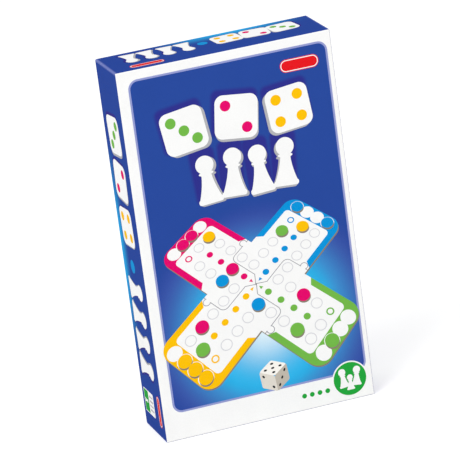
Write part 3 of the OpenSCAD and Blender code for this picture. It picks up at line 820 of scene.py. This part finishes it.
# Picture of the die, seen over one corner
DIE_AT, DIE_EDGE, DIE_SOFT, SPOT_AT, SPOT_R = Vector((4.4, 21.8)), 8.4, 1.0, 0.27, 0.085
mix_inks(black="#1d1c22")
right_up, left_up, down = (DIE_EDGE * Vector((math.cos(math.radians(a)), math.sin(math.radians(a))))
                           for a in (37, 157, 276))
for part, code, a, b, spots in (
        ("top", "#f4f1ea", right_up, left_up, [(-1, -1), (1, 1), (-1, 1), (1, -1), (0, 0)]),
        ("left", "#dcd6cb", left_up, down, [(-1, 1), (1, -1)]),
        ("right", "#bcb4a7", right_up, down, [(-1, 1), (0, 0), (1, -1)])):
    mix_inks(**{f"die_{part}": code})
    ink(f"picture_die_{part}", *ON_LID, INK[f"die_{part}"], FRONT, 5,
        [soft([DIE_AT, DIE_AT + a, DIE_AT + a + b, DIE_AT + b], DIE_SOFT)])
    centre = DIE_AT + (a + b) / 2
    ink(f"picture_die_{part}_pips", *ON_LID, INK["black"], FRONT, 7,
        [[tuple(centre + a * x + b * z) for x, z in circle(SPOT_AT * i, SPOT_AT * j, SPOT_R, 16)]
         for i, j in spots])

# A round badge with three pawns, and a row of dots, at the foot of the front
SEAL_X, SEAL_Z, SEAL_R, SEAL_RIM = 43.0, 11.2, 8.6, 0.7
SEAL_PAWNS = ((-3.6, 0.9, 6, 10.0), (3.6, 0.9, -6, 10.0), (0, -1.8, 0, 8.0))
mix_inks(leaf_green="#1fa03a")
ink("seal_rim", *ON_LID, INK["white"], FRONT, 3, [circle(SEAL_X, SEAL_Z, SEAL_R + SEAL_RIM, 64)])
ink("seal", *ON_LID, INK["leaf_green"], FRONT, 5, [circle(SEAL_X, SEAL_Z, SEAL_R, 64)])
ink("seal_pawns", *ON_LID, INK["white"], FRONT, 7,
    [placed(part, SEAL_X + x, SEAL_Z + z, turn, size) for x, z, turn, size in SEAL_PAWNS for part in pawn()])
FOOT_DOT_R, FOOT_DOTS_X, FOOT_DOTS_Z, FOOT_DOT_PITCH = 1.25, 18.4, 7.6, 4.1
marks("foot_dots", *ON_LID, INK["leaf_green"], FRONT, 2, FOOT_DOT_R,
      [(FOOT_DOTS_X + FOOT_DOT_PITCH * i, FOOT_DOTS_Z) for i in range(4)])

# The sides: the same motifs in a row, a dot, a small badge and a two-tone tile. Towards the front is plus
ROW_AT, SIDE_ROW_SCALE, SIDE_DOT_Z, SIDE_DOT_R = -0.5, 0.88, 87.5, 3.4
SIDE_BADGE_AT, SIDE_BADGE_Z, TILE_EDGE, TILE_PAWN = 11.2, 14.6, 0.5, 4.6
TILE_BACK, TILE_SPLIT, TILE_FRONT, TILE_LOW, TILE_HIGH = -13.6, -6.0, 2.4, 8.4, 20.9
for name, where, mirror in (("left", LEFT, 1), ("right", RIGHT, -1)):
    x = ROW_AT * mirror
    dice = [(x, 155.0, 5, 3, "green", (0.3, -1.2)), (x, 131.5, -4, 2, "pink", (0.3, -0.9)),
            (x, 108.0, 4, 4, "yellow", (0.2, -0.5))]
    pawns = [(x, 75.0, 3, (0.3, 0.4)), (x, 61.4, -3, (0.3, 0.6)), (x, 47.8, 3, (0.3, 0.8)),
             (x, 34.2, -3, (0.3, 1.0))]
    motif_row(f"{name}_row", where, dice, pawns, SIDE_ROW_SCALE, -90)
    ink(f"{name}_dot", *ON_LID, INK["blue"], where, 3, [circle(x, SIDE_DOT_Z, SIDE_DOT_R)])
    badge(f"{name}_badge", where, SIDE_BADGE_AT * mirror, SIDE_BADGE_Z, 16.5, 4.4, -90)
    tile = sorted((TILE_BACK * mirror, TILE_FRONT * mirror))
    half = sorted((TILE_BACK * mirror, TILE_SPLIT * mirror))
    # The tile's white is the lighter copy too, painted light against the side's weaker light
    ink(f"{name}_tile", *ON_LID, INK["side_white"], where, 3,
        [rounded(tile[0], TILE_LOW, tile[1], TILE_HIGH, 0.8)])
    ink(f"{name}_tile_half", *ON_LID, INK["leaf_green"], where, 5,
        [rounded(half[0] + TILE_EDGE, TILE_LOW + TILE_EDGE, half[1], TILE_HIGH - TILE_EDGE, TILE_EDGE)])
    ink(f"{name}_tile_pawn", *ON_LID, INK["white"], where, 7,
        [placed(part, sum(half) / 2, SIDE_BADGE_Z, -90, TILE_PAWN) for part in pawn()])
    marks(f"{name}_tile_dots", *ON_LID, INK["seam"], where, 5, 0.6,
          [(-1.6 * mirror + 1.9 * i, 11.2 + 2.4 * j) for i in (-1, 0, 1) for j in range(4)], sides=16)

# The top end: the motifs in a row that is read from behind, a dot and a badge
ROW_Y = 4.5
dice = [(38.0, ROW_Y, 5, 3, "green", (-0.8, -0.5)), (23.4, ROW_Y, -4, 2, "pink", (-0.5, -0.6)),
        (8.8, ROW_Y, 4, 4, "yellow", (-0.2, -0.6))]
pawns = [(-12.4, ROW_Y, 3, (0.3, -0.6)), (-21.9, ROW_Y, -3, (0.5, -0.6)), (-31.4, ROW_Y, 3, (0.7, -0.6)),
         (-40.9, ROW_Y, -3, (0.9, -0.6))]
motif_row("top_row", ABOVE, dice, pawns, 0.64, 180)
ink("top_dot", *ON_LID, INK["blue"], ABOVE, 3, [circle(-3.6, ROW_Y, 2.6)])
badge("top_badge", ABOVE, -36.8, -11.0, 17.5, 4.8, 180)


# ---- Studio ----
# A pale floor, a white surround, one broad soft lamp from the upper left and a weaker one to the right.
# The sizes here are metres.

def backdrop_rays(tree):
    """1 for the rays that see the backdrop: the camera's, and those that metal or glass turns to it."""
    kinds = ("Camera", "Glossy", "Transmission")
    return reduce(Link.most, [tree.add("ShaderNodeLightPath", {}, out=f"Is {kind} Ray") for kind in kinds])


WHITE = (1, 1, 1, 1)
floor_finish = Finish("studio_floor")
matt = floor_finish.add("ShaderNodeBsdfDiffuse", {}, {"Color": (0.8, 0.8, 0.8, 1)})
lift = floor_finish.add("ShaderNodeEmission", {}, {
    "Color": WHITE, "Strength": backdrop_rays(floor_finish) * 0.42})
both = floor_finish.add("ShaderNodeAddShader", {}, [matt, lift])
floor_finish.add("ShaderNodeOutputMaterial", {}, {"Surface": both})
FLOOR_HALF = 6.0
floor_mesh = bpy.data.meshes.new("studio_floor")
floor_corners = [(x * FLOOR_HALF, y * FLOOR_HALF, 0) for x, y in ((-1, -1), (1, -1), (1, 1), (-1, 1))]
floor_mesh.from_pydata(floor_corners, [], [(0, 1, 2, 3)])
floor_mesh.materials.append(floor_finish.material)
floor = bpy.data.objects.new("studio_floor", floor_mesh)
bpy.context.scene.collection.objects.link(floor)

world = bpy.data.worlds.new("studio_surround")
bpy.context.scene.world = world
world.use_nodes = True
surround = Tree(world.node_tree)
lit = surround.add("ShaderNodeBackground", {}, {"Color": WHITE, "Strength": 0.66})
shown = surround.add("ShaderNodeBackground", {}, {"Color": WHITE, "Strength": 1.0})
mixed = surround.add("ShaderNodeMixShader", {}, [backdrop_rays(surround), lit, shown])
surround.add("ShaderNodeOutputWorld", {}, {"Surface": mixed})

BOX_MIDDLE = Vector((0, 0, 0.09))


def softbox(name, at, size, power):
    """A square soft lamp that faces the box."""
    lamp = bpy.data.lights.new(name, "AREA")
    lamp.shape, lamp.size, lamp.energy = "SQUARE", size, power
    holder = bpy.data.objects.new(name, lamp)
    holder.location = at
    holder.rotation_euler = (BOX_MIDDLE - Vector(at)).to_track_quat("-Z", "Y").to_euler()
    bpy.context.scene.collection.objects.link(holder)


softbox("key_lamp", (-1.6, -1.2, 2.0), 1.4, 37)
softbox("fill_lamp", (0.9, -1.9, 0.8), 1.2, 8.5)

# The camera's place and directions were solved from the box's corners in the photograph
CAMERA_AT = (-0.50914, -1.75206, 0.66378)
ahead = Vector((0.2646955, 0.9172514, -0.2976343)).normalized()
up = Vector((0.2092493, 0.2466574, 0.9462425)).normalized()
camera_data = bpy.data.cameras.new("camera")
camera_data.lens, camera_data.sensor_width = 303.4, 36
camera = bpy.data.objects.new("camera", camera_data)
camera.matrix_world = Matrix([*zip(ahead.cross(up), up, -ahead, CAMERA_AT), (0, 0, 0, 1)])
bpy.context.scene.collection.objects.link(camera)
bpy.context.scene.camera = camera
bpy.context.scene.view_settings.view_transform = "Standard"
